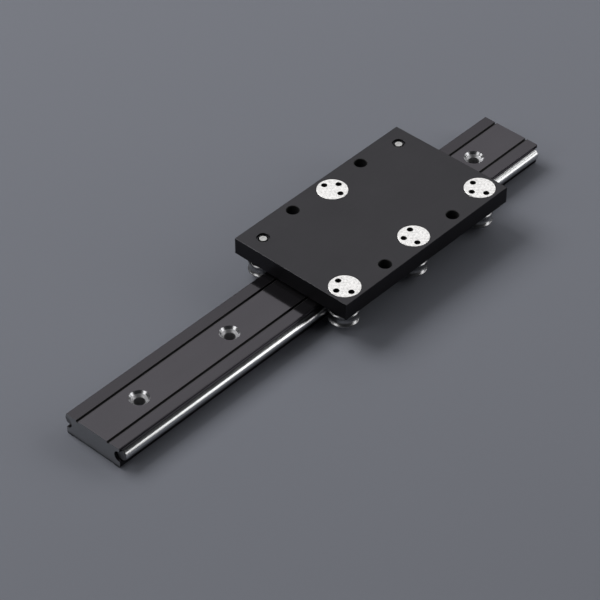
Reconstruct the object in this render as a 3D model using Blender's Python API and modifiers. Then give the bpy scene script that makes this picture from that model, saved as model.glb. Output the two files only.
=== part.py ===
# Dual shaft guide rail. An aluminium section carries a hardened steel shaft in each side, and a
# carriage plate runs along the two shafts on six grooved ball bearing rollers.
# Metres, +Z up. X runs along the rail, and the origin is the middle of the rail's underside.

import math

import bmesh
import bpy
from mathutils import Matrix

# Clearances
FIT = 0.0003                    # between two pieces that seat on each other
BALL_PLAY = 0.0002              # between a ball and each raceway or pocket wall

# Rail section
RAIL_LENGTH = 0.500
RAIL_WIDTH = 0.0574             # over the lips that hold the shafts
RAIL_HEIGHT = 0.020
RAIL_TOP_ROUND = 0.0006         # rounding of the top edges
RAIL_FOOT_CHAMFER = 0.0012
RELIEF_WIDTH = 0.044            # shallow relief along the underside, between two feet
RELIEF_DEPTH = 0.001
LINE_SPACING = 0.0334           # between the two reference lines cut in the top
LINE_WIDTH = 0.0022
LINE_DEPTH = 0.0016

# Rail screw holes
SCREW_PITCH = 0.100
SCREW_HOLE = 0.009
SCREW_SINK = 0.017              # across each countersink at the rail's top
SCREW_SINK_ANGLE = 90.0         # of the countersink's cone, in degrees

# Shafts
SHAFT_DIAMETER = 0.010
SHAFT_INSET = 0.0005            # from the face of the lips in to the shaft's axis
SHAFT_DROP = 0.0083             # from the top of the rail down to the shaft's axis
SHAFT_SETBACK = 0.0025          # of each shaft's end behind the rail's end
SHAFT_CHAMFER = 0.0012

# Carriage
CARRIAGE_X = 0.0694             # middle of the plate along the rail, at rest
ROLLER_PITCH = 0.0835
PLATE_THICKNESS = 0.0158
PLATE_LIFT = 0.0034             # from the top of the rail up to the plate's underside
PLATE_END_MARGIN = 0.0029       # from the outermost adjuster discs to the plate's ends
PLATE_SIDE_MARGIN = 0.00305     # from the adjuster discs to the plate's sides
PLATE_CHAMFER = 0.0006
MOUNT_HOLE = 0.011
MOUNT_HOLE_CHAMFER = 0.0005
MOUNT_HOLE_EDGE = 0.0105        # from the plate's side in to the hole's axis

# Rollers, from the axle outwards
AXLE_DIAMETER = 0.008
INNER_WALL = 0.0019
RACE_DEPTH = 0.0006
RACE_WIDTH = 0.0026
BALL_DIAMETER = 0.0035
BALL_COUNT = 6
OUTER_WALL = 0.00115            # steel left between the raceway and the groove's root
LIP_HEIGHT = 0.0021             # of the groove's lips above its root
ROLLER_WIDTH = 0.012
ROLLER_CHAMFER = 0.0008
RING_STANDOFF = 0.0003          # of the inner ring past each face of the outer ring
SEAL_THICKNESS = 0.0008
SEAL_INSET = 0.0002
CAGE_WALL = 0.0011
CAGE_WIDTH = 0.0032
CAGE_RISE = 0.0007              # of the cage's upper edge above the balls' middle

# Axles, spacers and nuts
DISC_DIAMETER = 0.0266
DISC_THICKNESS = 0.0045
DISC_CHAMFER = 0.0003
PIN_HOLE = 0.005
PIN_HOLE_CIRCLE = 0.017
PIN_HOLE_DEPTH = 0.003
JOURNAL_DIAMETER = 0.014
ECCENTRICITY = 0.00075
SPACER_LAND = 0.00095           # of the spacer's flange under the plate, past the journal's bore
SPACER_FLANGE = 0.002
SPACER_STEP = 0.0002            # of the spacer's foot inside the inner ring's shoulder
NUT_ACROSS_FLATS = 0.013
NUT_HEIGHT = 0.004
THREAD_STANDOUT = 0.0005
THREAD_CHAMFER = 0.0009
FIXED_SINK = 0.011              # wide mouth over each fixed axle's end
FIXED_SINK_DEPTH = 0.0015

# Sides of each round shape
ROUND_SIDES = 24
RING_SIDES = 20
SMALL_SIDES = 16
SEAL_SIDES = 12
CAGE_SIDES = 2 * BALL_COUNT
PIN_HOLE_SIDES = 10

# The four adjuster discs, each with the turn of its three pin holes in degrees
PIN_HOLE_TURN = {"left_middle": -86.0, "right_near": 80.0, "right_middle": 61.0, "right_far": 80.0}
STATIONS = {"near": -1, "middle": 0, "far": 1}
SIDES = {"left": 1, "right": -1}

# Shafts and rollers in the rail's frame
shaft_radius = SHAFT_DIAMETER / 2
shaft_y = RAIL_WIDTH / 2 - SHAFT_INSET
shaft_z = RAIL_HEIGHT - SHAFT_DROP
axle_radius = AXLE_DIAMETER / 2
bore_radius = axle_radius + FIT
shoulder_radius = bore_radius + INNER_WALL
ball_radius = BALL_DIAMETER / 2
ball_circle = shoulder_radius - RACE_DEPTH + BALL_PLAY + ball_radius
outer_race = ball_circle + ball_radius + BALL_PLAY
outer_bore = outer_race - RACE_DEPTH
groove_root = outer_race + OUTER_WALL
roller_radius = groove_root + LIP_HEIGHT
roller_y = shaft_y + shaft_radius + FIT + groove_root

# Carriage plate, in the carriage's frame
disc_radius = DISC_DIAMETER / 2
plate_length = 2 * (ROLLER_PITCH + disc_radius + PLATE_END_MARGIN)
plate_width = 2 * (roller_y + disc_radius + PLATE_SIDE_MARGIN)
plate_bottom = RAIL_HEIGHT + PLATE_LIFT
plate_top = plate_bottom + PLATE_THICKNESS

# Heights of the stack on each axle, from the roller's middle
ring_half = ROLLER_WIDTH / 2 + RING_STANDOFF
spacer_bottom = ring_half + FIT
spacer_top = plate_bottom - shaft_z - FIT
nut_top = -ring_half - FIT
axle_end = nut_top - NUT_HEIGHT - THREAD_STANDOUT


def clear_scene():
    for obj in list(bpy.data.objects):
        bpy.data.objects.remove(obj, do_unlink=True)


def new_collection(name):
    collection = bpy.data.collections.new(name)
    bpy.context.scene.collection.children.link(collection)
    return collection


def make_material(name, colour, roughness, metallic):
    material = bpy.data.materials.new(name)
    material.use_nodes = True
    shader = material.node_tree.nodes["Principled BSDF"]
    shader.inputs["Base Color"].default_value = (*colour, 1.0)
    shader.inputs["Roughness"].default_value = roughness
    shader.inputs["Metallic"].default_value = metallic
    return material


def make_empty(name, location, parent=None):
    empty = bpy.data.objects.new(name, None)
    empty.empty_display_size = 0.01
    part_collection.objects.link(empty)
    empty.parent = parent
    empty.location = location
    return empty


def place(name, mesh, material, location=(0, 0, 0), parent=None):
    obj = bpy.data.objects.new(name, mesh)
    if not mesh.materials:
        mesh.materials.append(material)
    part_collection.objects.link(obj)
    obj.parent = parent
    obj.location = location
    return obj


def place_cutter(name, mesh, location=(0, 0, 0), parent=None):
    obj = bpy.data.objects.new(name, mesh)
    cutter_collection.objects.link(obj)
    obj.parent = parent
    obj.location = location
    obj.hide_render = True
    obj.display_type = 'WIRE'
    return obj


def add_boolean(obj, other, operation):
    modifier = obj.modifiers.new(operation.title(), 'BOOLEAN')
    modifier.operation = operation
    modifier.solver = 'EXACT'
    modifier.object = other


def evaluated_mesh(obj):
    # Mesh of an object with its modifiers, which then leaves the scene.
    graph = bpy.context.evaluated_depsgraph_get()
    mesh = bpy.data.meshes.new_from_object(obj.evaluated_get(graph))
    bpy.data.objects.remove(obj, do_unlink=True)
    return mesh


def shade_round(mesh):
    mesh.shade_smooth()
    mesh.set_sharp_from_angle(angle=math.radians(32))
    return mesh


def turned(name, profile, sides, closed=True):
    # Profile of (radius, height) points turned about Z. It runs down its outer side.
    points = [(radius, 0.0, height) for radius, height in profile]
    edges = [(i, i + 1) for i in range(len(points) - 1)]
    if closed:
        edges.append((len(points) - 1, 0))
    mesh = bpy.data.meshes.new(name)
    mesh.from_pydata(points, edges, [])
    obj = bpy.data.objects.new(name, mesh)
    cutter_collection.objects.link(obj)
    screw = obj.modifiers.new("Turn", 'SCREW')
    screw.steps = sides
    screw.render_steps = sides
    screw.use_merge_vertices = True
    screw.merge_threshold = 0.00001
    result = evaluated_mesh(obj)
    result.name = name
    return shade_round(result)


def solid_turned(name, profile, sides):
    # The same for a solid whose profile starts and ends on the axis.
    return turned(name, profile, sides, closed=False)


def cylinder(name, radius, top, bottom, sides):
    return solid_turned(name, [(0, top), (radius, top), (radius, bottom), (0, bottom)], sides)


def hexagon(name, across_flats, top, bottom):
    mesh = bpy.data.meshes.new(name)
    bm = bmesh.new()
    corner_radius = across_flats / math.sqrt(3)
    bmesh.ops.create_cone(bm, cap_ends=True, segments=6, radius1=corner_radius,
                          radius2=corner_radius, depth=top - bottom)
    bmesh.ops.translate(bm, verts=bm.verts, vec=(0, 0, (top + bottom) / 2))
    bm.to_mesh(mesh)
    bm.free()
    return mesh


def gathered(name, mesh, places):
    # One mesh that holds a copy of another at each place.
    bm = bmesh.new()
    for spot in places:
        start = len(bm.verts)
        bm.from_mesh(mesh)
        bm.verts.ensure_lookup_table()
        bmesh.ops.translate(bm, verts=bm.verts[start:], vec=spot)
    result = bpy.data.meshes.new(name)
    bm.to_mesh(result)
    bm.free()
    return result


def arc(centre, radius, start, end, steps):
    # Points on an arc in the section's plane, angles in radians.
    return [(centre[0] + radius * math.cos(start + (end - start) * i / steps),
             centre[1] + radius * math.sin(start + (end - start) * i / steps))
            for i in range(steps + 1)]


def rail_outline():
    # Section of the rail as (across, up) points, one half from the underside to the top.
    half_width = RAIL_WIDTH / 2
    seat_radius = shaft_radius + FIT
    mouth = math.acos(SHAFT_INSET / seat_radius)
    line = LINE_SPACING / 2
    rounding = RAIL_TOP_ROUND
    half = [(RELIEF_WIDTH / 2, RELIEF_DEPTH),
            (RELIEF_WIDTH / 2 + RELIEF_DEPTH, 0.0),
            (half_width - RAIL_FOOT_CHAMFER, 0.0),
            (half_width, RAIL_FOOT_CHAMFER)]
    half += arc((shaft_y, shaft_z), seat_radius, -mouth, mouth - 2 * math.pi, 12)
    half += arc((half_width - rounding, RAIL_HEIGHT - rounding), rounding, 0.0, math.pi / 2, 3)
    half += [(line + LINE_WIDTH / 2, RAIL_HEIGHT),
             (line + LINE_WIDTH / 2, RAIL_HEIGHT - LINE_DEPTH),
             (line - LINE_WIDTH / 2, RAIL_HEIGHT - LINE_DEPTH),
             (line - LINE_WIDTH / 2, RAIL_HEIGHT)]
    return half + [(-across, up) for across, up in reversed(half)]


def screw_positions():
    count = max(1, int(RAIL_LENGTH / SCREW_PITCH + 1e-6))
    first = -(count - 1) * SCREW_PITCH / 2
    return [(first + i * SCREW_PITCH, 0.0, 0.0) for i in range(count)]


def build_rail():
    curve = bpy.data.curves.new("rail_section", 'CURVE')
    curve.dimensions = '2D'
    curve.fill_mode = 'BOTH'
    curve.extrude = RAIL_LENGTH / 2
    outline = rail_outline()
    spline = curve.splines.new('POLY')
    spline.points.add(len(outline) - 1)
    for point, (across, up) in zip(spline.points, outline):
        point.co = (across, up, 0.0, 1.0)
    spline.use_cyclic_u = True
    section = bpy.data.objects.new("rail_section", curve)
    cutter_collection.objects.link(section)
    section.rotation_euler = (math.pi / 2, 0.0, math.pi / 2)
    bpy.context.view_layer.update()
    matrix = section.matrix_world.copy()
    mesh = evaluated_mesh(section)
    bm = bmesh.new()
    bm.from_mesh(mesh)
    bmesh.ops.remove_doubles(bm, verts=bm.verts, dist=0.00001)
    bm.to_mesh(mesh)
    bm.free()
    rail = place("rail_extrusion", mesh, rail_finish)
    rail.matrix_world = matrix

    overshoot = 0.001
    spread = math.tan(math.radians(SCREW_SINK_ANGLE / 2))
    sink_depth = (SCREW_SINK - SCREW_HOLE) / 2 / spread
    hole = solid_turned("screw_hole", [
        (0, RAIL_HEIGHT + overshoot), (SCREW_SINK / 2 + overshoot * spread, RAIL_HEIGHT + overshoot),
        (SCREW_HOLE / 2, RAIL_HEIGHT - sink_depth), (SCREW_HOLE / 2, -overshoot), (0, -overshoot)], ROUND_SIDES)
    holes = gathered("screw_holes", hole, screw_positions())
    add_boolean(rail, place_cutter("screw_hole_cutter", holes), 'DIFFERENCE')


def build_shafts():
    half_length = RAIL_LENGTH / 2 - SHAFT_SETBACK
    shaft = solid_turned("shaft", [
        (0, half_length), (shaft_radius - SHAFT_CHAMFER, half_length),
        (shaft_radius, half_length - SHAFT_CHAMFER), (shaft_radius, SHAFT_CHAMFER - half_length),
        (shaft_radius - SHAFT_CHAMFER, -half_length), (0, -half_length)], ROUND_SIDES)
    for side, sign in SIDES.items():
        bar = place("shaft_" + side, shaft, shaft_finish, (0, sign * shaft_y, shaft_z))
        bar.rotation_euler = (0, math.pi / 2, 0)


def build_plate(carriage):
    # The plate with its stepped bores, mount holes and the two wide mouths over the fixed axles.
    bpy.ops.mesh.primitive_cube_add(size=1)
    plate = bpy.context.object
    plate.name = "carriage_plate"
    plate.data.name = "carriage_plate"
    for collection in list(plate.users_collection):
        collection.objects.unlink(plate)
    part_collection.objects.link(plate)
    plate.data.transform(Matrix.Diagonal((plate_length, plate_width, PLATE_THICKNESS, 1.0)))
    plate.data.materials.append(plate_finish)
    plate.parent = carriage
    plate.location = (0, 0, plate_bottom + PLATE_THICKNESS / 2)
    bevel = plate.modifiers.new("Edges", 'BEVEL')
    bevel.width = PLATE_CHAMFER
    bevel.segments = 1

    overshoot = 0.001
    above = plate_top + overshoot
    below = plate_bottom - overshoot
    disc_bore = solid_turned("disc_bore", [
        (0, above), (disc_radius + FIT, above),
        (disc_radius + FIT, plate_top - DISC_THICKNESS - FIT),
        (JOURNAL_DIAMETER / 2 + FIT, plate_top - DISC_THICKNESS - FIT),
        (JOURNAL_DIAMETER / 2 + FIT, below), (0, below)], ROUND_SIDES)
    fixed_bore = solid_turned("fixed_bore", [
        (0, above), (FIXED_SINK / 2, above), (FIXED_SINK / 2, plate_top - FIXED_SINK_DEPTH),
        (bore_radius, plate_top - FIXED_SINK_DEPTH), (bore_radius, below), (0, below)], SMALL_SIDES)
    mount_radius = MOUNT_HOLE / 2
    flare = MOUNT_HOLE_CHAMFER
    mount_bore = solid_turned("mount_bore", [
        (0, above), (mount_radius + flare + overshoot, above),
        (mount_radius, plate_top - flare), (mount_radius, below), (0, below)], RING_SIDES)
    mount_y = plate_width / 2 - MOUNT_HOLE_EDGE
    mount_spots = [(x * ROLLER_PITCH / 2, y * mount_y, 0) for x in (-1, 1) for y in (-1, 1)]
    disc_spots = [(*axle_spot(key), 0) for key in roller_keys() if key in PIN_HOLE_TURN]
    fixed_spots = [(*axle_spot(key), 0) for key in roller_keys() if key not in PIN_HOLE_TURN]
    for name, mesh, spots in (("disc_bore_cutter", disc_bore, disc_spots),
                              ("fixed_bore_cutter", fixed_bore, fixed_spots),
                              ("mount_bore_cutter", mount_bore, mount_spots)):
        cutter = place_cutter(name, gathered(name, mesh, spots), parent=carriage)
        add_boolean(plate, cutter, 'DIFFERENCE')


def roller_keys():
    return [side + "_" + station for side in SIDES for station in STATIONS]


def axle_spot(key):
    # Place of an axle's axis on the carriage, across and along.
    side, station = key.split("_")
    return STATIONS[station] * ROLLER_PITCH, SIDES[side] * roller_y


def outer_ring_mesh():
    # Ring with a round groove that fits the shaft, a ball raceway inside, and chamfered faces.
    half = ROLLER_WIDTH / 2
    centre = groove_root + FIT + shaft_radius
    groove_radius = shaft_radius + FIT
    mouth = math.acos((centre - roller_radius) / groove_radius)
    race_half = RACE_WIDTH / 2
    profile = [(roller_radius - ROLLER_CHAMFER, half), (roller_radius, half - ROLLER_CHAMFER)]
    profile += arc((centre, 0), groove_radius, math.pi - mouth, math.pi + mouth, 4)
    profile += [(roller_radius, ROLLER_CHAMFER - half), (roller_radius - ROLLER_CHAMFER, -half),
                (outer_bore, -half), (outer_bore, -race_half), (outer_race, 0),
                (outer_bore, race_half), (outer_bore, half)]
    return turned("outer_ring", profile, RING_SIDES)


def inner_ring_mesh():
    race_half = RACE_WIDTH / 2
    return turned("inner_ring", [
        (shoulder_radius, ring_half), (shoulder_radius, race_half),
        (shoulder_radius - RACE_DEPTH, 0), (shoulder_radius, -race_half),
        (shoulder_radius, -ring_half), (bore_radius, -ring_half), (bore_radius, ring_half)], SMALL_SIDES)


def seal_mesh(side):
    # Flat ring let into the upper (1) or the lower (-1) face of the outer ring.
    inside = shoulder_radius + FIT
    outside = outer_bore - FIT
    middle = side * (ROLLER_WIDTH / 2 - SEAL_INSET - SEAL_THICKNESS / 2)
    top = middle + SEAL_THICKNESS / 2
    bottom = middle - SEAL_THICKNESS / 2
    return turned("seal", [(outside, top), (outside, bottom), (inside, bottom), (inside, top)], SEAL_SIDES)


def ball_cage_mesh():
    # Ring of balls held at equal spacing by the cage that they are snapped into.
    ball = bpy.data.meshes.new("ball")
    bm = bmesh.new()
    bmesh.ops.create_uvsphere(bm, u_segments=8, v_segments=4, radius=ball_radius)
    bm.to_mesh(ball)
    bm.free()
    turns = [2 * math.pi * i / BALL_COUNT for i in range(BALL_COUNT)]
    spots = [(ball_circle * math.cos(a), ball_circle * math.sin(a), 0) for a in turns]
    outside = ball_circle + CAGE_WALL / 2
    inside = ball_circle - CAGE_WALL / 2
    ring = turned("cage", [(outside, CAGE_RISE), (outside, CAGE_RISE - CAGE_WIDTH),
                           (inside, CAGE_RISE - CAGE_WIDTH), (inside, CAGE_RISE)], CAGE_SIDES)
    cage = place_cutter("cage_ring", ring)
    add_boolean(cage, place_cutter("cage_balls", gathered("balls", ball, spots)), 'UNION')
    return shade_round(evaluated_mesh(cage))


def spacer_mesh():
    flange = JOURNAL_DIAMETER / 2 + FIT + ECCENTRICITY + SPACER_LAND
    foot = shoulder_radius - SPACER_STEP
    return turned("spacer", [
        (flange, spacer_top), (flange, spacer_top - SPACER_FLANGE), (foot, spacer_top - SPACER_FLANGE),
        (foot, spacer_bottom), (bore_radius, spacer_bottom), (bore_radius, spacer_top)], SEAL_SIDES)


def build_eccentric_axle(key, parent, offset, turn):
    # Disc head flush with the plate, journal in the plate's bore, and a roller pin set off its axis.
    top = plate_top - shaft_z
    journal_bottom = plate_bottom - shaft_z + FIT
    journal_radius = JOURNAL_DIAMETER / 2
    head = solid_turned("eccentric_head", [
        (0, top), (disc_radius - DISC_CHAMFER, top), (disc_radius, top - DISC_CHAMFER),
        (disc_radius, top - DISC_THICKNESS), (journal_radius, top - DISC_THICKNESS),
        (journal_radius, journal_bottom), (0, journal_bottom)], ROUND_SIDES)
    axle = place("eccentric_axle_" + key, head, axle_finish, parent=parent)
    pin = solid_turned("roller_pin", [
        (0, journal_bottom + SPACER_FLANGE), (axle_radius, journal_bottom + SPACER_FLANGE),
        (axle_radius, axle_end + THREAD_CHAMFER), (axle_radius - THREAD_CHAMFER, axle_end),
        (0, axle_end)], SMALL_SIDES)
    add_boolean(axle, place_cutter("roller_pin_" + key, pin, (offset, 0, 0), parent), 'UNION')
    circle = PIN_HOLE_CIRCLE / 2
    turns = [math.radians(turn + 90 * i) for i in range(3)]
    overshoot = 0.001
    hole = cylinder("pin_hole", PIN_HOLE / 2, top + overshoot, top - PIN_HOLE_DEPTH, PIN_HOLE_SIDES)
    holes = gathered("pin_holes", hole, [(circle * math.cos(a), circle * math.sin(a), 0) for a in turns])
    add_boolean(axle, place_cutter("pin_holes_" + key, holes, parent=parent), 'DIFFERENCE')
    nut = place("lock_nut_" + key, hexagon("lock_nut", NUT_ACROSS_FLATS, nut_top, nut_top - NUT_HEIGHT),
                nut_finish, (offset, 0, 0), parent)
    bore = cylinder("nut_bore", bore_radius, nut_top + overshoot, axle_end - overshoot, SMALL_SIDES)
    add_boolean(nut, place_cutter("nut_bore_" + key, bore, (offset, 0, 0), parent), 'DIFFERENCE')


def build_fixed_axle(key, parent):
    # Bolt from below: hex head under the roller, and a thread whose end shows in the plate's top.
    top = plate_top - shaft_z - FIXED_SINK_DEPTH + THREAD_STANDOUT
    shank = solid_turned("fixed_axle", [
        (0, top), (axle_radius - THREAD_CHAMFER, top), (axle_radius, top - THREAD_CHAMFER),
        (axle_radius, nut_top - NUT_HEIGHT / 2), (0, nut_top - NUT_HEIGHT / 2)], SMALL_SIDES)
    axle = place("fixed_axle_" + key, shank, axle_finish, parent=parent)
    head = hexagon("bolt_head", NUT_ACROSS_FLATS, nut_top, nut_top - NUT_HEIGHT)
    add_boolean(axle, place_cutter("bolt_head_" + key, head, parent=parent), 'UNION')


def build_rollers(carriage):
    shared = {"outer_ring": (outer_ring_mesh(), ring_finish),
              "inner_ring": (inner_ring_mesh(), ring_finish),
              "ball_cage": (ball_cage_mesh(), ball_finish),
              "upper_seal": (seal_mesh(1), seal_finish),
              "lower_seal": (seal_mesh(-1), seal_finish),
              "spacer": (spacer_mesh(), spacer_finish)}
    for key in roller_keys():
        along, across = axle_spot(key)
        hub = make_empty("axle_" + key, (along, across, shaft_z), carriage)
        if key in PIN_HOLE_TURN:
            offset = math.copysign(ECCENTRICITY, across)
            build_eccentric_axle(key, hub, offset, PIN_HOLE_TURN[key])
        else:
            offset = 0.0
            build_fixed_axle(key, hub)
        for kind, (mesh, finish) in shared.items():
            place(kind + "_" + key, mesh, finish, (offset, 0, 0), hub)


clear_scene()
part_collection = new_collection("dual_shaft_guide_rail")
cutter_collection = new_collection("cutters")

rail_finish = make_material("black anodised extrusion", (0.095, 0.090, 0.093), 0.38, 0.85)
plate_finish = make_material("black anodised plate", (0.020, 0.020, 0.022), 0.42, 0.6)
shaft_finish = make_material("ground hardened steel", (0.78, 0.79, 0.80), 0.12, 1.0)
ring_finish = make_material("bearing steel", (0.74, 0.74, 0.75), 0.18, 1.0)
axle_finish = make_material("bright plated steel", (0.82, 0.82, 0.81), 0.26, 1.0)
nut_finish = make_material("zinc plated steel", (0.66, 0.66, 0.65), 0.32, 1.0)
ball_finish = make_material("polished ball steel", (0.82, 0.82, 0.83), 0.08, 1.0)
seal_finish = make_material("black rubber seal", (0.018, 0.018, 0.018), 0.6, 0.0)
spacer_finish = make_material("blackened steel", (0.030, 0.030, 0.032), 0.4, 0.7)

build_rail()
build_shafts()
carriage_frame = make_empty("carriage", (CARRIAGE_X, 0, 0))
build_plate(carriage_frame)
build_rollers(carriage_frame)
bpy.context.view_layer.update()
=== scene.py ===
import math

import bmesh
import bpy
from mathutils import Matrix, Vector


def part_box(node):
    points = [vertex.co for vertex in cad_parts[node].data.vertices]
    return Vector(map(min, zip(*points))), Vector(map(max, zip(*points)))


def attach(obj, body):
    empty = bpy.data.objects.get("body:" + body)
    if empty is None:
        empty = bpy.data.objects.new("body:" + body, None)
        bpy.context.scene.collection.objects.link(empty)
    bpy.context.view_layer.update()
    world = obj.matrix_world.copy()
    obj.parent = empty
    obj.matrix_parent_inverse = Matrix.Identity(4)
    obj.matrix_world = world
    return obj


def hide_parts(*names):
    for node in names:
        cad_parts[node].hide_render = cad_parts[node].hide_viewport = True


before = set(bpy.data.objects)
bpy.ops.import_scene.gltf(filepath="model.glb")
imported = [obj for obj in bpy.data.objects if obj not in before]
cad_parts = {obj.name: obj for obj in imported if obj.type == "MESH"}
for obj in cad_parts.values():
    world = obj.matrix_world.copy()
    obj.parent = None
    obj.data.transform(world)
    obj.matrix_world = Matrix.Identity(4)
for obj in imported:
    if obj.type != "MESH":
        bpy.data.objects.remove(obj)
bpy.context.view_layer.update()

print("frame loaded:", len(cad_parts), "nodes")

mm = 0.001
over = 0.005    # how far a cutter stands past the face that it cuts
sideSign = {"left": 1, "right": -1}
stationStep = {"near": -1, "middle": 0, "far": 1}
rollerKeys = [side + "_" + station for side in sideSign for station in stationStep]


# camera, floor and light

view = {"lens": 157.78, "sensor": 36.0, "spot": (-1.1895, -1.0728, 1.4086), "look": (0.5519, 0.5055, -0.6633),
        "farthest": 60.0}

cameraData = bpy.data.cameras.new("photoCamera")
cameraData.lens = view["lens"]
cameraData.sensor_width = view["sensor"]
cameraData.clip_end = view["farthest"]
camera = bpy.data.objects.new("photoCamera", cameraData)
camera.location = view["spot"]
camera.rotation_euler = Vector(view["look"]).to_track_quat("-Z", "Y").to_euler()
bpy.context.scene.collection.objects.link(camera)
bpy.context.scene.camera = camera
bpy.context.scene.view_settings.view_transform = "Standard"


class Wire:
    # one shader output that takes Python's own arithmetic
    def __init__(self, paint, socket):
        self.paint, self.socket = paint, socket

    def calc(self, operation, *values):
        return self.paint.add("ShaderNodeMath", {"operation": operation}, dict(enumerate(values)))

    def __add__(self, other): return self.calc("ADD", self, other)
    def __sub__(self, other): return self.calc("SUBTRACT", self, other)
    def __rsub__(self, other): return self.calc("SUBTRACT", other, self)
    def __mul__(self, other): return self.calc("MULTIPLY", self, other)
    def __pow__(self, other): return self.calc("POWER", self, other)
    def __abs__(self): return self.calc("ABSOLUTE", self)
    __radd__, __rmul__ = __add__, __mul__


class Paint:
    # a material and the nodes that feed its shader
    def __init__(self, name, **plain):
        self.material = bpy.data.materials.new(name)
        self.material.use_nodes = True
        self.tree = self.material.node_tree
        self.shader = self.tree.nodes["Principled BSDF"]
        for label, value in plain.items():
            self.shader.inputs[label.replace("_", " ")].default_value = value

    def add(self, kind, settings=None, inputs=None, out=0):
        node = self.tree.nodes.new(kind)
        for label, value in (settings or {}).items():
            if label == "stops":
                ramp = node.color_ramp
                while len(ramp.elements) < len(value):
                    ramp.elements.new(1.0)
                for element, (place, level) in zip(ramp.elements, value):
                    element.position = place
                    element.color = (level, level, level, 1)
            else:
                setattr(node, label, value)
        for label, value in (inputs or {}).items():
            self.feed(node.inputs[label], value)
        return Wire(self, node.outputs[out])

    def feed(self, socket, value):
        if isinstance(value, Wire):
            self.tree.links.new(value.socket, socket)
        elif socket.type == "RGBA" and len(value) == 3:
            socket.default_value = (*value, 1)
        else:
            socket.default_value = value

    def place(self, scale=(1, 1, 1)):
        spot = self.add("ShaderNodeTexCoord", out="Object")
        return self.add("ShaderNodeMapping", None, {"Vector": spot, "Scale": scale})

    def axisPlace(self):
        # place counted from the piece's own axis
        return self.add("ShaderNodeAttribute", {"attribute_name": "axisPlace"}, out="Vector")

    def parts(self, vector):
        node = self.tree.nodes.new("ShaderNodeSeparateXYZ")
        self.tree.links.new(vector.socket, node.inputs["Vector"])
        return [Wire(self, socket) for socket in node.outputs]

    def grain(self, place, scale=1.0, detail=2.0, rough=0.5):
        return self.add("ShaderNodeTexNoise", None, {"Vector": place, "Scale": scale, "Detail": detail,
                                                     "Roughness": rough})

    def ramp(self, value, *stops):
        return self.add("ShaderNodeValToRGB", {"stops": stops}, {"Fac": value})

    def dye(self, shade, colour):
        # a colour made lighter or darker by a value
        return self.add("ShaderNodeVectorMath", {"operation": "SCALE"}, {0: colour, "Scale": shade})

    def finish(self, bump=None, depth=0.00002, strength=1.0, **varied):
        for label, value in varied.items():
            self.feed(self.shader.inputs[label.replace("_", " ")], value)
        if bump is not None:
            relief = {"Height": bump, "Distance": depth, "Strength": strength}
            self.feed(self.shader.inputs["Normal"], self.add("ShaderNodeBump", None, relief))
        return self.material


stageLook = {"floorColour": (0.197, 0.206, 0.236), "floorSize": 30.0, "floorDrop": 0.0003, "rough": 0.85,
             "gloss": 0.2, "cloudGrain": 3.0, "cloud": 0.04, "aim": (0.0689, 0, 0.03)}
lampLook = {
    # direction from the carriage, distance, width, height, radiance
    "backBox": {"toward": (0.55, 0.51, 0.66), "away": 2.4, "size": (2.4, 1.2), "level": 1.22},
    "leftBox": {"toward": (-0.78, 0.22, 0.60), "away": 2.4, "size": (0.9, 1.2), "level": 2.2},
    "keyBox": {"toward": (-0.15, 0.68, 0.72), "away": 3.4, "size": (2.1, 1.7), "level": 6.8},
    "rightBox": {"toward": (0.552, -0.754, 0.357), "away": 2.2, "size": (0.9, 1.43), "level": 2.4},
    "farBox": {"toward": (0.83, -0.22, 0.515), "away": 2.4, "size": (1.2, 1.1), "level": 2.4},
}
skyLook = {"horizon": (0.06, 0.062, 0.066), "above": (0.025, 0.026, 0.028), "bandTop": 0.22}

floorMesh = bpy.data.meshes.new("studioFloor")
floorShape = bmesh.new()
bmesh.ops.create_grid(floorShape, x_segments=1, y_segments=1, size=stageLook["floorSize"] / 2)
bmesh.ops.translate(floorShape, verts=floorShape.verts, vec=(0, 0, -stageLook["floorDrop"]))
floorShape.to_mesh(floorMesh)
floorShape.free()
floor = bpy.data.objects.new("studioFloor", floorMesh)
bpy.context.scene.collection.objects.link(floor)
floorPaint = Paint("paleFloor", Roughness=stageLook["rough"], Specular_IOR_Level=stageLook["gloss"])
floorCloud = floorPaint.grain(floorPaint.place(), stageLook["cloudGrain"], detail=1.0) - 0.5
floorShade = floorCloud * stageLook["cloud"] + 1.0
floorMesh.materials.append(floorPaint.finish(Base_Color=floorPaint.dye(floorShade, stageLook["floorColour"])))

for lampName, lamp in lampLook.items():
    data = bpy.data.lights.new(lampName, "AREA")
    data.shape = "RECTANGLE"
    data.size, data.size_y = lamp["size"]
    data.energy = lamp["level"] * math.pi * lamp["size"][0] * lamp["size"][1]
    source = bpy.data.objects.new(lampName, data)
    toward = Vector(lamp["toward"]).normalized()
    source.location = Vector(stageLook["aim"]) + toward * lamp["away"]
    source.rotation_euler = toward.to_track_quat("Z", "Y").to_euler()
    bpy.context.scene.collection.objects.link(source)

world = bpy.data.worlds.new("studioSky")
world.use_nodes = True
bpy.context.scene.world = world
skyNodes, skyLinks = world.node_tree.nodes, world.node_tree.links
heading = skyNodes.new("ShaderNodeTexCoord")
split = skyNodes.new("ShaderNodeSeparateXYZ")
skyRamp = skyNodes.new("ShaderNodeValToRGB")
skyRamp.color_ramp.elements[0].color = (*skyLook["horizon"], 1)
skyRamp.color_ramp.elements[1].position = skyLook["bandTop"]
skyRamp.color_ramp.elements[1].color = (*skyLook["above"], 1)
skyLinks.new(heading.outputs["Generated"], split.inputs["Vector"])
skyLinks.new(split.outputs["Z"], skyRamp.inputs["Fac"])
skyLinks.new(skyRamp.outputs["Color"], skyNodes["Background"].inputs["Color"])
print("stage ready")


# finishes

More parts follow.
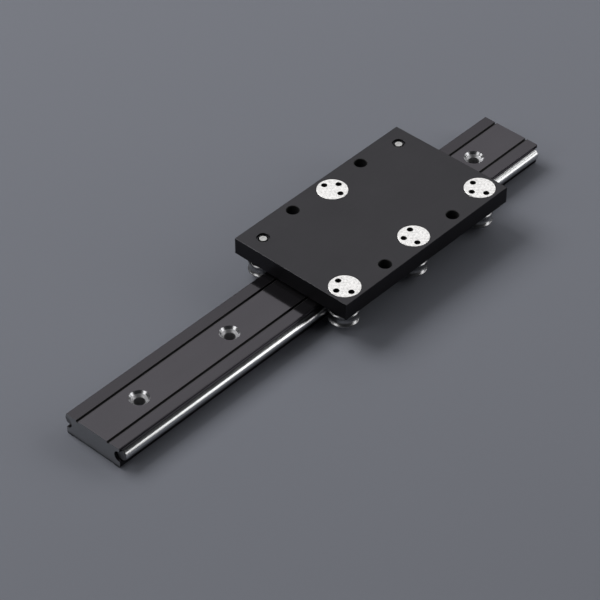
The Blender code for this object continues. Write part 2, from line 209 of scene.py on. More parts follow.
blackLook = {
    "rail": {"colour": (0.0715, 0.068, 0.075), "metal": 0.85, "gloss": 0.2, "edgeTint": 0.15, "rough": 0.1,
             "lineGrain": (5, 1500, 1500), "lines": 0.12, "lineRough": 0.06,
             "cloudGrain": (14, 26, 26), "cloud": 0.16, "cloudRough": 0.03,
             "speckGrain": 5200.0, "speck": 0.12,
             "stripEdge": 0.0167, "stripBlur": 0.0001, "leftStripShade": 0.76, "rightStripShade": 0.89},
    "plate": {"colour": (0.0475, 0.0465, 0.0505), "metal": 0.8, "gloss": 0.2, "edgeTint": 0.3, "rough": 0.3,
              "speckGrain": 3800.0, "speck": 0.30, "speckRough": 0.10,
              "cloudGrain": 24.0, "cloud": 0.22, "cloudRough": 0.05,
              "passGrain": (60, 900, 60), "passes": 0.10,
              "wearGrain": 160.0, "wearSpots": (0.42, 0.75), "wear": 0.3, "wearRough": 0.06,
              "edgeReach": 1.2, "edgeFade": (0.45, 1.0)},
}


def blackPaint(name, look):
    return Paint(name, Metallic=look["metal"], Specular_IOR_Level=look["gloss"],
                 Specular_Tint=(look["edgeTint"],) * 3 + (1,))


def anodisedRail(name, look):
    # drawn aluminium section, black anodised: fine lines run along it, and the strips outside its slots are
    # painted darker, painted shade for the different way they reflect the light
    paint = blackPaint(name, look)
    lines = paint.grain(paint.place(look["lineGrain"]), detail=4.0, rough=0.6)
    cloud = paint.grain(paint.place(look["cloudGrain"]))
    speck = paint.grain(paint.place(), look["speckGrain"], detail=1.0)
    y = paint.parts(paint.place())[1]
    spread = 10    # the ramp covers a tenth of a metre, with the rail's middle at 0.5
    right, left = (0.5 + sign * spread * look["stripEdge"] for sign in (-1, 1))
    blur = spread * look["stripBlur"]
    # painted shade: the strips outside the slots are coloured darker, standing in for the different way they
    # reflect the light
    stripShade = paint.ramp(y * spread + 0.5, (right - blur, look["rightStripShade"]), (right + blur, 1.0),
                        (left - blur, 1.0), (left + blur, look["leftStripShade"]))
    shade = ((lines - 0.5) * look["lines"] + (cloud - 0.5) * look["cloud"] + (speck - 0.5) * look["speck"]
             + 1.0) * stripShade
    rough = (lines - 0.5) * look["lineRough"] + (cloud - 0.5) * look["cloudRough"] + look["rough"]
    return paint.finish(bump=lines * 0.6 + speck * 0.4, depth=0.000004, strength=0.2,
                        Base_Color=paint.dye(shade, look["colour"]), Roughness=rough)


def anodisedPlate(name, look, box):
    # milled plate, bead blasted and black anodised, a little lighter where its edges rub
    paint = blackPaint(name, look)
    speck = paint.grain(paint.place(), look["speckGrain"], rough=0.6)
    cloud = paint.grain(paint.place(), look["cloudGrain"], detail=3.0)
    passes = paint.grain(paint.place(look["passGrain"]))
    middle = [(a + b) / 2 for a, b in zip(*box)]
    half = [(b - a) / 2 for a, b in zip(*box)]
    outside = [abs(axis - m) - h for axis, m, h in zip(paint.parts(paint.place()), middle, half)]
    fadeIn, full = look["edgeFade"]
    near = [paint.ramp(gap * (1 / mm) + look["edgeReach"], (fadeIn, 0.0), (full, 1.0)) for gap in outside]
    rub = near[0] * near[1] + near[1] * near[2] + near[0] * near[2]
    spotStart, spotFull = look["wearSpots"]
    spots = paint.grain(paint.place(), look["wearGrain"], detail=3.0)
    wear = rub * paint.ramp(spots, (spotStart, 0.0), (spotFull, 1.0))
    shade = ((speck - 0.5) * look["speck"] + (cloud - 0.5) * look["cloud"] + (passes - 0.5) * look["passes"]
             + wear * look["wear"] + 1.0)
    rough = ((speck - 0.5) * look["speckRough"] + (cloud - 0.5) * look["cloudRough"]
             - wear * look["wearRough"] + look["rough"])
    return paint.finish(bump=speck, depth=0.00001, strength=0.25,
                        Base_Color=paint.dye(shade, look["colour"]), Roughness=rough)


turnedLook = {"wobbleGrain": 350.0, "wobble": 2.5, "ringShade": 0.015, "ringRough": 0.012,
              "smearGrain": 130.0, "smearShade": 0.10, "smearRough": 0.08,
              "stainGrain": 420.0, "stains": (0.30, 0.58)}


def turnedSteel(name, colour, rough, pitch, ringDepth=0.25, mottle=0.0):
    # faced or turned on a lathe: rings about the piece's own axis, and small stains
    look = turnedLook
    paint = Paint(name, Metallic=1.0)
    x, y, z = paint.parts(paint.axisPlace())
    radius = (x * x + y * y) ** 0.5
    wobble = paint.grain(paint.axisPlace(), look["wobbleGrain"])
    turns = (radius + z) * (2 * math.pi / pitch) + wobble * look["wobble"]
    rings = turns.calc("SINE", turns)
    smear = paint.grain(paint.axisPlace(), look["smearGrain"], detail=3.0)
    shade = (smear - 0.5) * look["smearShade"] + rings * look["ringShade"] + 1.0
    if mottle:
        dark, clean = look["stains"]
        grain = paint.grain(paint.axisPlace(), look["stainGrain"], detail=4.0, rough=0.65)
        shade = shade - (1.0 - paint.ramp(grain, (dark, 0.0), (clean, 1.0))) * mottle
    return paint.finish(bump=rings * 0.5 + 0.5, depth=0.000004, strength=ringDepth,
                        Base_Color=paint.dye(shade, colour),
                        Roughness=(smear - 0.5) * look["smearRough"] + rings * look["ringRough"] + rough)


shaftLook = {"markGrain": (4200, 160, 160), "markShade": 0.03, "markRough": 0.05,
             "cloudGrain": (18, 60, 60), "cloudShade": 0.05, "cloudRough": 0.03}


def groundShaft(name, colour, rough):
    # centreless ground and polished bar along X
    look = shaftLook
    paint = Paint(name, Metallic=1.0)
    marks = paint.grain(paint.place(look["markGrain"]), detail=3.0)
    cloud = paint.grain(paint.place(look["cloudGrain"]))
    shade = (cloud - 0.5) * look["cloudShade"] + (marks - 0.5) * look["markShade"] + 1.0
    dull = (marks - 0.5) * look["markRough"] + (cloud - 0.5) * look["cloudRough"] + rough
    return paint.finish(bump=marks, depth=0.000003, strength=0.2,
                        Base_Color=paint.dye(shade, colour), Roughness=dull)


drilledLook = {"ringGrain": (300, 300, 5200), "ringShade": 0.12, "ringRough": 0.10}


def bareAluminium(name, colour, rough):
    # drilled and spot faced through the anodising
    paint = Paint(name, Metallic=1.0)
    rings = paint.grain(paint.place(drilledLook["ringGrain"]))
    return paint.finish(bump=rings, depth=0.000006, strength=0.3,
                        Base_Color=paint.dye((rings - 0.5) * drilledLook["ringShade"] + 1.0, colour),
                        Roughness=(rings - 0.5) * drilledLook["ringRough"] + rough)


sawnLook = {"metal": 0.9, "rough": 0.42, "markGrain": (200, 260, 3600), "markShade": 0.35, "markRough": 0.15,
            "cloudGrain": 60.0, "cloudShade": 0.15, "footShadeReach": 0.005, "footShadeDark": 0.25, "footShadeMiddle": 0.85}


def sawnEnd(name, colour):
    # sawn and deburred ends: fine marks across, and painted shade darkening them along the rail's foot
    look = sawnLook
    paint = Paint(name, Metallic=look["metal"])
    marks = paint.grain(paint.place(look["markGrain"]), detail=3.0)
    cloud = paint.grain(paint.place(), look["cloudGrain"])
    height = paint.parts(paint.place())[2]
    # painted shade: darker towards the foot, standing in for the contact shadow along the bottom edge
    foot = paint.ramp(height * (1 / look["footShadeReach"]), (0.24, look["footShadeDark"]), (0.5, look["footShadeMiddle"]),
                      (0.9, 1.0))
    shade = ((marks - 0.5) * look["markShade"] + (cloud - 0.5) * look["cloudShade"] + 1.0) * foot
    return paint.finish(bump=marks, depth=0.00002, strength=0.35, Base_Color=paint.dye(shade, colour),
                        Roughness=(marks - 0.5) * look["markRough"] + look["rough"])


platedLook = {"mottleGrain": 420.0, "mottleShade": 0.25, "mottleRough": 0.16, "speckGrain": 3000.0}


def platedSteel(name, colour, rough):
    # zinc or black plating: a soft mottle
    look = platedLook
    paint = Paint(name, Metallic=1.0)
    mottle = paint.grain(paint.place(), look["mottleGrain"], detail=4.0, rough=0.6)
    speck = paint.grain(paint.place(), look["speckGrain"], detail=1.0)
    return paint.finish(bump=mottle * 0.6 + speck * 0.4, depth=0.00001, strength=0.2,
                        Base_Color=paint.dye((mottle - 0.5) * look["mottleShade"] + 1.0, colour),
                        Roughness=(mottle - 0.5) * look["mottleRough"] + rough)


rubberLook = {"gloss": 0.4, "rough": 0.55, "speckGrain": 2600.0, "speckShade": 0.4, "speckRough": 0.15}


def sealRubber(name, colour):
    # dull and dark; also painted shade inside the rail's slots and the plate's bores
    look = rubberLook
    paint = Paint(name, Metallic=0.0, Specular_IOR_Level=look["gloss"])
    speck = paint.grain(paint.place(), look["speckGrain"], detail=3.0)
    return paint.finish(bump=speck, depth=0.00002, strength=0.25,
                        Base_Color=paint.dye((speck - 0.5) * look["speckShade"] + 1.0, colour),
                        Roughness=(speck - 0.5) * look["speckRough"] + look["rough"])


finish = {
    "rail": anodisedRail("anodisedRail", blackLook["rail"]),
    "railEnd": sawnEnd("sawnEnd", (0.37, 0.375, 0.382)),
    "sinkRim": bareAluminium("bareAluminium", (0.46, 0.46, 0.47), rough=0.24),
    "sinkWall": bareAluminium("dullAluminium", (0.46, 0.46, 0.47), rough=0.5),
    # painted shade: the insides of the rail's slots and the plate's mount bores take these near-black
    # colours, where shade falls
    "slot": sealRubber("slotShade", (0.022, 0.021, 0.0215)),
    "bore": sealRubber("boreShade", (0.012, 0.012, 0.0125)),
    "plate": anodisedPlate("anodisedPlate", blackLook["plate"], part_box("carriage_plate")),
    "shaft": groundShaft("groundShaft", (0.60, 0.604, 0.608), rough=0.24),
    # painted shade: the shaft ends, set back in their seats, are coloured darker than the shaft
    "shadedShaftEnd": sawnEnd("shadedShaftEnd", (0.22, 0.22, 0.225)),
    "disc": turnedSteel("facedDisc", (0.87, 0.857, 0.847), rough=0.28, pitch=0.00045, mottle=0.4),
    "fixed": turnedSteel("cutThread", (0.50, 0.497, 0.49), rough=0.34, pitch=0.0006, mottle=0.3),
    # painted shade: the spanner holes are coloured dark inside, where shade falls
    "spannerHole": platedSteel("shadedHole", (0.10, 0.10, 0.103), rough=0.5),
    "thread": platedSteel("oiledThread", (0.05, 0.05, 0.052), rough=0.4),
    # bearing steel, coloured darker than bare steel as painted shade for the dark surroundings the rings
    # reflect
    "roller": turnedSteel("shadedBearingSteel", (0.34, 0.34, 0.344), rough=0.28, pitch=0.0003, ringDepth=0.12),
    "nut": platedSteel("zincPlate", (0.62, 0.62, 0.61), rough=0.3),
    "spacer": platedSteel("blackenedSteel", (0.028, 0.028, 0.03), rough=0.36),
    "ball": turnedSteel("ballSteel", (0.84, 0.84, 0.85), rough=0.06, pitch=0.004, ringDepth=0.0),
    "seal": sealRubber("sealRubber", (0.017, 0.017, 0.017)),
}
print("finishes ready:", len(finish))


# modelling helpers

def lathe(profile, steps, rounds=None, closed=True):
    # a profile of (radius, height) points spun about Z; rounds gives corners their radius
    shape = bmesh.new()
    verts = [shape.verts.new((radius, 0, height)) for radius, height in profile]
    for first, second in zip(verts, verts[1:] + verts[:1] if closed else verts[1:]):
        shape.edges.new((first, second))
    sizes = {}
    for corner, size in (rounds or {}).items():
        sizes.setdefault(size, []).append(verts[corner])
    for size, corners in sizes.items():
        bmesh.ops.bevel(shape, geom=corners, affect="VERTICES", offset=size, segments=3, profile=0.5,
                        material=-1)
    bmesh.ops.spin(shape, geom=shape.verts[:] + shape.edges[:], cent=(0, 0, 0), axis=(0, 0, 1),
                   dvec=(0, 0, 0), angle=2 * math.pi, steps=steps, use_merge=True)
    bmesh.ops.remove_doubles(shape, verts=shape.verts, dist=1e-7)
    bmesh.ops.recalc_face_normals(shape, faces=shape.faces)
    return shape


def moved(shape, spot):
    copy = shape.copy()
    bmesh.ops.translate(copy, verts=copy.verts, vec=spot)
    return copy


def tool(shape, materials=(), paint=0):
    # a temporary object for a Boolean, whose faces keep their paint if it's None
    for face in shape.faces if paint is not None else ():
        face.material_index = paint
    mesh = bpy.data.meshes.new("tool")
    shape.to_mesh(mesh)
    shape.free()
    for material in materials:
        mesh.materials.append(material)
    cutter = bpy.data.objects.new("tool", mesh)
    bpy.context.scene.collection.objects.link(cutter)
    return cutter


def cut(base, cutters, operation="DIFFERENCE"):
    # base and cutters are tools; gives back the result's mesh
    for cutter in cutters:
        modifier = base.modifiers.new("cut", "BOOLEAN")
        modifier.operation, modifier.solver, modifier.object = operation, "EXACT", cutter
    bpy.context.view_layer.update()
    mesh = bpy.data.meshes.new_from_object(base.evaluated_get(bpy.context.evaluated_depsgraph_get()))
    for used in [base, *cutters]:
        bpy.data.objects.remove(used, do_unlink=True)
    return mesh


def makePiece(name, shape, body, materials, node=None, axis=(0, 0, 0), sharp=32, weighted=False):
    # turns a bmesh or mesh into a finished piece that rides on a body
    if isinstance(shape, bmesh.types.BMesh):
        mesh = bpy.data.meshes.new(name)
        shape.to_mesh(mesh)
        shape.free()
    else:
        mesh = shape
        mesh.name = name
    mesh.shade_smooth()
    mesh.set_sharp_from_angle(angle=math.radians(sharp))
    if not mesh.materials:
        for material in materials:
            mesh.materials.append(material)
    place = mesh.attributes.new("axisPlace", "FLOAT_VECTOR", "POINT")
    for vertex, item in zip(mesh.vertices, place.data):
        item.vector = vertex.co - Vector(axis)
    piece = bpy.data.objects.new(name, mesh)
    bpy.context.scene.collection.objects.link(piece)
    if weighted:
        modifier = piece.modifiers.new("evenShading", "WEIGHTED_NORMAL")
        modifier.keep_sharp = True
    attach(piece, body)
    if node:
        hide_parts(node)
    return piece


def boxShape(low, high):
    shape = bmesh.new()
    bmesh.ops.create_cube(shape, size=1)
    bmesh.ops.scale(shape, verts=shape.verts, vec=Vector(high) - Vector(low))
    bmesh.ops.translate(shape, verts=shape.verts, vec=(Vector(high) + Vector(low)) / 2)
    return shape


def prism(outline, reach):
    # a closed outline of (y, z) points drawn out along X to both sides
    shape = bmesh.new()
    end = shape.faces.new([shape.verts.new((-reach, y, z)) for y, z in outline])
    drawn = bmesh.ops.extrude_face_region(shape, geom=[end], use_keep_orig=True)
    moving = [item for item in drawn["geom"] if isinstance(item, bmesh.types.BMVert)]
    bmesh.ops.translate(shape, verts=moving, vec=(2 * reach, 0, 0))
    bmesh.ops.recalc_face_normals(shape, faces=shape.faces)
    return shape


def bar(radius, length, spot, steps):
    # a cylinder along X
    shape = bmesh.new()
    bmesh.ops.create_cone(shape, cap_ends=True, segments=steps, radius1=radius, radius2=radius, depth=length)
    bmesh.ops.rotate(shape, verts=shape.verts, cent=(0, 0, 0), matrix=Matrix.Rotation(math.pi / 2, 3, "Y"))
    bmesh.ops.translate(shape, verts=shape.verts, vec=spot)
    return shape


def edgesWhere(shape, test):
    return [edge for edge in shape.edges if test(*[vertex.co for vertex in edge.verts])]


def soften(shape, edges, size, segments=3):
    bmesh.ops.bevel(shape, geom=edges, affect="EDGES", offset=size, segments=segments, profile=0.5,
                    material=-1)


# rail

rail = {"length": 0.5, "width": 0.0574, "height": 0.02, "topRound": 0.0006, "footChamfer": 0.0012,
        "reliefWidth": 0.045, "reliefDepth": 0.001, "lineSpacing": 0.0334, "lineWidth": 0.0022,
        "lineDepth": 0.0016, "lineRound": 0.00025, "lineRoundCuts": 4, "holePitch": 0.1, "holes": 5,
        "hole": 0.009, "sink": 0.017, "sinkEdge": 0.0002, "rimDepth": 0.0019, "shaft": 0.01,
        "seatPlay": 0.00015, "shaftInset": 0.0005, "shaftDrop": 0.0083, "shaftSetback": 0.0025,
        "shaftChamfer": 0.0012}
shaftY = rail["width"] / 2 - rail["shaftInset"]
shaftZ = rail["height"] - rail["shaftDrop"]


def makeRail():
    halfLength, halfWidth, top = rail["length"] / 2, rail["width"] / 2, rail["height"]
    block = boxShape((-halfLength, -halfWidth, 0), (halfLength, halfWidth, top))
    alongX = lambda a, b: abs(a.x - b.x) > rail["width"]
    soften(block, edgesWhere(block, lambda a, b: alongX(a, b) and a.z < mm), rail["footChamfer"], 1)
    soften(block, edgesWhere(block, lambda a, b: alongX(a, b) and a.z > top - mm / 10), rail["topRound"], 5)
    materials = [finish[look] for look in ("rail", "railEnd", "sinkRim", "sinkWall", "slot")]
    cutters = []
    for sign in (1, -1):
        seat = bar(rail["shaft"] / 2 + rail["seatPlay"], rail["length"] + 2 * over,
                   (0, sign * shaftY, shaftZ), steps=96)
        cutters.append(tool(seat, materials))
        line, reach = sign * rail["lineSpacing"] / 2, rail["lineWidth"] / 2
        bend = rail["lineRound"]
        half = [(reach + bend, top + over)]
        for i in range(rail["lineRoundCuts"]):
            turn = math.pi / 2 * i / (rail["lineRoundCuts"] - 1)
            half.append((reach + bend * (1 - math.sin(turn)), top - bend * (1 - math.cos(turn))))
        half.append((reach, top - rail["lineDepth"]))
        outline = [(line + y, z) for y, z in half] + [(line - y, z) for y, z in reversed(half)]
        # the slot cutter gives the slots' insides the painted shade
        cutters.append(tool(prism(outline, halfLength + over), materials, 4))
    relief = boxShape((-halfLength - over, -rail["reliefWidth"] / 2, -over),
                      (halfLength + over, rail["reliefWidth"] / 2, rail["reliefDepth"]))
    cutters.append(tool(relief, materials))
    edge, sink, hole = rail["sinkEdge"], rail["sink"] / 2, rail["hole"] / 2
    rim = rail["rimDepth"]
    drill = lathe([(0, top + over), (sink + over, top + over), (sink - rim, top - rim),
                   (hole + edge, top - sink + hole + edge), (hole, top - sink + hole - edge), (hole, -over),
                   (0, -over)], steps=96, closed=False)
    for i in range(rail["holes"]):
        spot = ((i - (rail["holes"] - 1) / 2) * rail["holePitch"], 0, 0)
        cutters.append(tool(moved(drill, spot), materials, 2))
    drill.free()
    mesh = cut(tool(block, materials), cutters)
    for polygon in mesh.polygons:
        if abs(polygon.normal.x) > 0.99 and abs(abs(polygon.center.x) - halfLength) < mm:
            polygon.material_index = 1
        elif polygon.material_index == 2 and polygon.center.z < top - rail["rimDepth"]:
            polygon.material_index = 3
    makePiece("railSection", mesh, "rail", materials, "rail_extrusion", weighted=True)


def makeShafts():
    barLength = rail["length"] - 2 * rail["shaftSetback"]
    for side, sign in sideSign.items():
        shaft = bar(rail["shaft"] / 2, barLength, (0, sign * shaftY, shaftZ), steps=96)
        ends = edgesWhere(shaft, lambda a, b: abs(a.x - b.x) < mm)
        soften(shaft, ends, rail["shaftChamfer"], 3)
        for face in shaft.faces:
            # end faces and chamfers take the darker shaft-end colour, a painted shade
            face.material_index = int(abs(face.normal.x) > 0.3)
        makePiece("shaft" + side.title(), shaft, "rail", [finish["shaft"], finish["shadedShaftEnd"]],
                  "shaft_" + side, (0, sign * shaftY, shaftZ), weighted=True)


makeRail()
makeShafts()
print("rail and shafts done")


# carriage plate

low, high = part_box("carriage_plate")
plate = {"low": low, "high": high, "edge": 0.0006, "disc": 0.0266, "discThickness": 0.0045,
         "discPlay": 0.00015, "journal": 0.014, "play": 0.0002, "fixedSink": 0.011, "fixedSinkDepth": 0.0015,
         "pin": 0.008, "mountHole": 0.011, "mountFlare": 0.0004, "mountEdge": 0.0105, "rollerPitch": 0.0835,
         "rollerY": 0.04415, "boreEdge": 0.0002}
carriageX = (low.x + high.x) / 2
fixedKeys = ("left_near", "left_far")


def axleSpot(key):
    side, station = key.split("_")
    x = carriageX + stationStep[station] * plate["rollerPitch"]
    return Vector((x, sideSign[side] * plate["rollerY"], 0))


def makePlate():
    top, bottom = plate["high"].z, plate["low"].z
    above, below = top + over, bottom - over
    block = boxShape(plate["low"], plate["high"])
    soften(block, block.edges[:], plate["edge"], 2)
    edge = plate["boreEdge"]
    disc, journal = plate["disc"] / 2 + plate["discPlay"], plate["journal"] / 2 + plate["play"]
    discFloor = top - plate["discThickness"] - plate["play"]
    discBore = lathe([(0, above), (disc + edge + over, above), (disc, top - edge), (disc, discFloor),
                      (journal + edge, discFloor), (journal, discFloor - edge), (journal, below), (0, below)],
                     steps=96, closed=False)
    sink, pin = plate["fixedSink"] / 2, plate["pin"] / 2 + plate["play"]
    sinkFloor = top - plate["fixedSinkDepth"]
    fixedBore = lathe([(0, above), (sink + edge + over, above), (sink, top - edge), (sink, sinkFloor),
                       (pin + edge, sinkFloor), (pin, sinkFloor - edge), (pin, below), (0, below)],
                      steps=64, closed=False)
    mount, flare = plate["mountHole"] / 2, plate["mountFlare"]
    mountBore = lathe([(0, above), (mount + flare + over, above), (mount, top - flare),
                       (mount, bottom + flare), (mount + flare + over, below), (0, below)],
                      steps=64, closed=False)
    materials = [finish["plate"], finish["bore"]]
    cutters = []
    for key in rollerKeys:
        cutters.append(tool(moved(fixedBore if key in fixedKeys else discBore, axleSpot(key)), materials))
    mountY = (plate["high"].y - plate["low"].y) / 2 - plate["mountEdge"]
    for x in (-1, 1):
        for y in (-1, 1):
            spot = (carriageX + x * plate["rollerPitch"] / 2, y * mountY, 0)
            # the mount bores' insides take the painted shade
            cutters.append(tool(moved(mountBore, spot), materials, 1))
    mesh = cut(tool(block, materials), cutters)
    makePiece("carriagePlate", mesh, "carriage", materials, "carriage_plate", weighted=True)


makePlate()
print("carriage plate done")


# roller bearings

roller = {"width": 0.012, "radius": 0.01275, "chamfer": 0.0008, "grooveRoot": 0.01065,
          "grooveRadius": 0.0053, "grooveCuts": 28, "rimRound": 0.00015, "mouthRound": 0.00012,
          "outerBore": 0.0089, "boreLip": 0.00025, "race": 0.0095, "raceHalf": 0.0013, "raceCuts": 8,
          "shoulder": 0.0062, "innerRace": 0.0056, "innerRound": 0.0002, "bore": 0.0042,
          "boreRound": 0.00025, "standoff": 0.0003, "steps": 96, "eccentricity": 0.00075}
seal = {"inset": 0.0002, "thickness": 0.0008, "play": 0.0002, "step": 0.00018, "rim": 0.0003,
        "beadOut": 0.0004, "beadIn": 0.0002, "round": 0.0001}
balls = {"size": 0.0035, "count": 6, "circle": 0.00755, "cageWall": 0.0011, "cageWidth": 0.0032,
         "cageRise": 0.0007, "cageRound": 0.0002}


def keyName(key):
    side, station = key.split("_")
    return side.title() + station.title()


def pinSpot(key):
    spot = axleSpot(key) + Vector((0, 0, shaftZ))
    if key not in fixedKeys:
        spot.x += math.copysign(roller["eccentricity"], spot.y)
    return spot


def outerRingShape():
    half, radius, chamfer = roller["width"] / 2, roller["radius"], roller["chamfer"]
    centre = roller["grooveRoot"] + roller["grooveRadius"]
    mouth = math.acos((centre - radius) / roller["grooveRadius"])
    profile = [(radius - chamfer, half), (radius, half - chamfer)]
    cuts, groove = roller["grooveCuts"], roller["grooveRadius"]
    for i in range(cuts + 1):
        angle = math.pi - mouth + 2 * mouth * i / cuts
        profile.append((centre + groove * math.cos(angle), groove * math.sin(angle)))
    profile += [(radius, chamfer - half), (radius - chamfer, -half)]
    bore, race, raceHalf, lip = (roller[size] for size in ("outerBore", "race", "raceHalf", "boreLip"))
    profile += [(bore + lip, -half), (bore, lip - half), (bore, -raceHalf)]
    for i in range(1, roller["raceCuts"]):
        turn = math.pi * i / roller["raceCuts"]
        profile.append((bore + (race - bore) * math.sin(turn), -raceHalf * math.cos(turn)))
    profile += [(bore, raceHalf), (bore, half - lip), (bore + lip, half)]
    rim, mouthRound = roller["rimRound"], roller["mouthRound"]
    rounds = {0: rim, 1: rim, 2: mouthRound, cuts + 2: mouthRound, cuts + 3: rim, cuts + 4: rim}
    return lathe(profile, roller["steps"], rounds)


def innerRingShape():
    half = roller["width"] / 2 + roller["standoff"]
    shoulder, race, raceHalf, bore = (roller[size] for size in ("shoulder", "innerRace", "raceHalf", "bore"))
    profile = [(shoulder, half), (shoulder, raceHalf)]
    for i in range(1, roller["raceCuts"]):
        turn = math.pi * i / roller["raceCuts"]
        profile.append((shoulder - (shoulder - race) * math.sin(turn), raceHalf * math.cos(turn)))
    profile += [(shoulder, -raceHalf), (shoulder, -half), (bore, -half), (bore, half)]
    last = len(profile) - 1
    outer, inner = roller["innerRound"], roller["boreRound"]
    rounds = {0: outer, last - 2: outer, last - 1: inner, last: inner}
    return lathe(profile, steps=64, rounds=rounds)


def sealShape(side):
    # moulded lip seal, with a shallow step and a bead by the inner ring
    inside = roller["shoulder"] + seal["play"] / 2
    outside = roller["outerBore"] - seal["play"] / 4
    face = side * (roller["width"] / 2 - seal["inset"])
    back = face - side * seal["thickness"]
    low = face - side * seal["step"]
    middle = (inside + outside) / 2
    profile = [(outside, back), (outside, face), (outside - seal["rim"], face),
               (middle + seal["beadOut"], low), (middle - seal["beadIn"], low),
               (inside + seal["beadOut"], face), (inside, low), (inside, back)]
    return lathe(profile, steps=64, rounds={corner: seal["round"] for corner in (2, 3, 5)})


def ballCageShape():
    # pressed ring with its balls
    outside, inside = (balls["circle"] + s * balls["cageWall"] / 2 for s in (1, -1))
    low, high = balls["cageRise"] - balls["cageWidth"], balls["cageRise"]
    shape = lathe([(outside, high), (outside, low), (inside, low), (inside, high)],
                  steps=48, rounds={0: balls["cageRound"], 3: balls["cageRound"]})
    for i in range(balls["count"]):
        turn = 2 * math.pi * i / balls["count"]
        spot = (balls["circle"] * math.cos(turn), balls["circle"] * math.sin(turn), 0)
        bmesh.ops.create_icosphere(shape, subdivisions=3, radius=balls["size"] / 2,
                                   matrix=Matrix.Translation(spot))
    return shape


spacer = {"flange": 0.009, "flangeThickness": 0.002, "foot": 0.006, "bore": 0.0042, "play": 0.0002,
          "rimRound": 0.0002, "stepRound": 0.0003}


def spacerShape():
    ringTop = roller["width"] / 2 + roller["standoff"] + spacer["play"]
    top = plate["low"].z - shaftZ - spacer["play"]
    step = top - spacer["flangeThickness"]
    outer, inner = spacer["rimRound"], spacer["stepRound"]
    return lathe([(spacer["flange"], top), (spacer["flange"], step), (spacer["foot"], step),
                  (spacer["foot"], ringTop), (spacer["bore"], ringTop), (spacer["bore"], top)],
                 steps=64, rounds={0: outer, 1: inner, 2: inner, 3: outer})


def makeRollers():
    shapes = {"outerRing": (outerRingShape(), "outer_ring", "roller", "roller"),
              "innerRing": (innerRingShape(), "inner_ring", "bearing", "roller"),
              "upperSeal": (sealShape(1), "upper_seal", "seal", "seal"),
              "lowerSeal": (sealShape(-1), "lower_seal", "seal", "seal"),
              "ballCage": (ballCageShape(), "ball_cage", "balls", "ball"),
              "spacer": (spacerShape(), "spacer", "spacer", "spacer")}
    for key in rollerKeys:
        holder = "carriage" if key in fixedKeys else "adjuster_" + key
        bodies = {"outerRing": "roller_" + key, "upperSeal": "roller_" + key, "lowerSeal": "roller_" + key,
                  "ballCage": "ball_set_" + key, "innerRing": holder, "spacer": holder}
        spot = pinSpot(key)
        for kind, (shape, node, slot, look) in shapes.items():
            makePiece(kind + keyName(key), moved(shape, spot), bodies[kind], [finish[look]],
                      node + "_" + key, spot)
    for shape, *rest in shapes.values():
        shape.free()


makeRollers()
print("roller bearings done")


# axles and nuts

axle = {"discEdge": 0.0003, "headEdge": 0.0002, "journalSetback": 0.0003, "spannerHole": 0.005,
        "spannerCircle": 0.017, "spannerDepth": 0.003, "spannerEdge": 0.00015, "spannerTip": 0.4,
        "holeTurn": {"left_middle": -86, "right_near": 80, "right_middle": 61, "right_far": 80},
        "pin": 0.008, "threadPitch": 0.00125, "threadDepth": 0.0006, "threadRows": 8, "threadFlank": 2.4,
        "threadFade": 0.3, "threadReach": 0.0012, "end": 0.0009, "standout": 0.0005}
nut = {"flats": 0.013, "height": 0.004, "gap": 0.0002, "bottomGap": 0.0003, "bore": 0.0042,
       "boreEdge": 0.0003, "boreChamfer": 0.0004, "face": 0.96, "reach": 1.08, "slope": 28}
ringHalf = roller["width"] / 2 + roller["standoff"]
nutTop = shaftZ - ringHalf - nut["gap"]
nutBottom = shaftZ - ringHalf - nut["bottomGap"] - nut["height"]
axleEnd = nutBottom - axle["standout"]


def threadedPin(top, bottom, threadTop, threadBottom, steps=48):
    # a round bar whose surface winds in a helix between two heights
    radius, pitch, depth, end = axle["pin"] / 2, axle["threadPitch"], axle["threadDepth"], axle["end"]
    rows = max(2, round((threadTop - threadBottom) / pitch * axle["threadRows"]))
    profile = [(0, top), (radius, top)]
    if threadTop >= top - end:
        profile = [(0, top), (radius - end, top), (radius, top - end)]
    lowest = bottom + end if threadBottom <= bottom + end else bottom
    start = min(threadTop, profile[-1][1])
    stop = max(threadBottom, lowest)
    first = int(start == profile[-1][1])
    profile += [(radius, start + (stop - start) * i / rows) for i in range(first, rows + 1)]
    if lowest > bottom:
        profile += [(radius - end, bottom)]
    elif stop > bottom:
        profile += [(radius, bottom)]
    profile += [(0, bottom)]
    shape = lathe(profile, steps, closed=False)
    for vertex in shape.verts:
        spread = math.hypot(vertex.co.x, vertex.co.y)
        if spread > radius - 1e-6 and stop - 1e-6 <= vertex.co.z <= start + 1e-6:
            phase = (vertex.co.z / pitch - math.atan2(vertex.co.y, vertex.co.x) / (2 * math.pi)) % 1.0
            sink = depth * max(0.0, 1 - abs(phase - 0.5) * axle["threadFlank"])
            runs = (vertex.co.z - stop) / pitch, (start - vertex.co.z) / pitch
            fade = min(1.0, min(runs) + axle["threadFade"])
            vertex.co.x *= 1 - sink * fade / radius
            vertex.co.y *= 1 - sink * fade / radius
    return shape


def hexShape(top, bottom, flats):
    # hexagon whose corners are taken off by a cone at both faces
    corner = flats / math.sqrt(3)
    shape = bmesh.new()
    bmesh.ops.create_cone(shape, cap_ends=True, segments=6, radius1=corner, radius2=corner,
                          depth=top - bottom, matrix=Matrix.Translation((0, 0, (top + bottom) / 2)))
    inner, outer = flats / 2 * nut["face"], corner * nut["reach"]
    drop = (outer - inner) * math.tan(math.radians(nut["slope"]))
    crown = lathe([(0, top), (inner, top), (outer, top - drop), (outer, bottom + drop), (inner, bottom),
                   (0, bottom)], steps=96, closed=False)
    return cut(tool(shape), [tool(crown)], "INTERSECT")


def asShape(mesh):
    shape = bmesh.new()
    shape.from_mesh(mesh)
    return shape


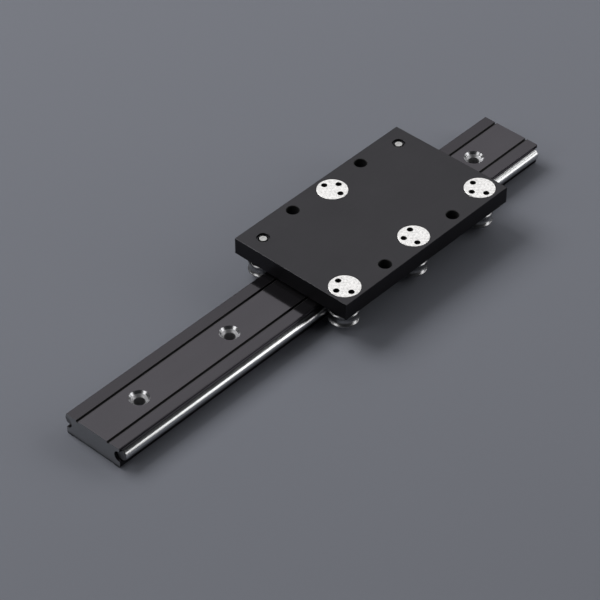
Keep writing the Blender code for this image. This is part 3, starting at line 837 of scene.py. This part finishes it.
def makeEccentric(key):
    centre, pinCentre = axleSpot(key), pinSpot(key)
    top, radius, edge = plate["high"].z, plate["disc"] / 2, axle["discEdge"]
    journal, journalBottom = plate["journal"] / 2, plate["low"].z + axle["journalSetback"]
    shoulder = top - plate["discThickness"]
    head = lathe([(0, top), (radius, top), (radius, shoulder), (journal, shoulder), (journal, journalBottom),
                  (0, journalBottom)],
                 steps=128, rounds={1: edge, 2: axle["headEdge"], 4: edge}, closed=False)
    head = moved(head, (centre.x, centre.y, 0))
    pin = threadedPin(journalBottom + 2 * mm, axleEnd, nutTop + axle["threadReach"], axleEnd)
    pin = moved(pin, (pinCentre.x, pinCentre.y, 0))
    holes = bmesh.new()
    hole, rim = axle["spannerHole"] / 2, axle["spannerEdge"]
    bottom = top - axle["spannerDepth"]
    drill = lathe([(0, top + mm), (hole + rim + mm, top + mm), (hole, top - rim), (hole, bottom),
                   (0, bottom - hole * axle["spannerTip"])], steps=40, closed=False)
    drillMesh = bpy.data.meshes.new("drill")
    for i in range(3):
        turn = math.radians(axle["holeTurn"][key] + 90 * i)
        spot = centre + Vector((math.cos(turn), math.sin(turn), 0)) * axle["spannerCircle"] / 2
        one = moved(drill, (spot.x, spot.y, 0))
        one.to_mesh(drillMesh)
        one.free()
        holes.from_mesh(drillMesh)
    drill.free()
    materials = [finish["disc"], finish["spannerHole"]]
    # the spanner holes' insides take the painted shade
    mesh = cut(tool(head, materials), [tool(holes, materials, 1)])
    joined = cut(tool(asShape(mesh), materials, None), [tool(pin, materials)], "UNION")
    makePiece("eccentricAxle" + keyName(key), joined, "adjuster_" + key, materials,
              "eccentric_axle_" + key, (centre.x, centre.y, top), weighted=True)


def makeLockNut(key):
    pinCentre = pinSpot(key)
    hexagon = hexShape(nutTop, nutBottom, nut["flats"])
    bore, chamfer, flare = nut["bore"], nut["boreChamfer"], nut["bore"] + nut["boreEdge"] + mm
    drill = lathe([(0, nutTop + mm), (flare, nutTop + mm), (bore, nutTop - chamfer),
                   (bore, nutBottom + chamfer), (flare, nutBottom - mm), (0, nutBottom - mm)],
                  steps=48, closed=False)
    mesh = cut(tool(asShape(hexagon)), [tool(drill)])
    mesh.transform(Matrix.Translation((pinCentre.x, pinCentre.y, 0)))
    makePiece("lockNut" + keyName(key), mesh, "adjuster_" + key, [finish["nut"]], "lock_nut_" + key,
              (pinCentre.x, pinCentre.y, 0), weighted=True)


def makeFixed(key):
    spot = axleSpot(key)
    top = plate["high"].z - plate["fixedSinkDepth"] + axle["standout"]
    shank = threadedPin(top, nutTop - nut["height"] / 2, top, plate["low"].z)
    head = hexShape(nutTop, nutBottom, nut["flats"])
    mesh = cut(tool(asShape(head)), [tool(shank)], "UNION")
    mesh.transform(Matrix.Translation((spot.x, spot.y, 0)))
    for polygon in mesh.polygons:
        polygon.material_index = int(polygon.center.z > nutTop and abs(polygon.normal.z) < 0.99)
    makePiece("fixedAxle" + keyName(key), mesh, "carriage", [finish["fixed"], finish["thread"]],
              "fixed_axle_" + key, (spot.x, spot.y, 0), weighted=True)


for key in rollerKeys:
    if key in fixedKeys:
        makeFixed(key)
    else:
        makeEccentric(key)
        makeLockNut(key)
print("axles and nuts done")
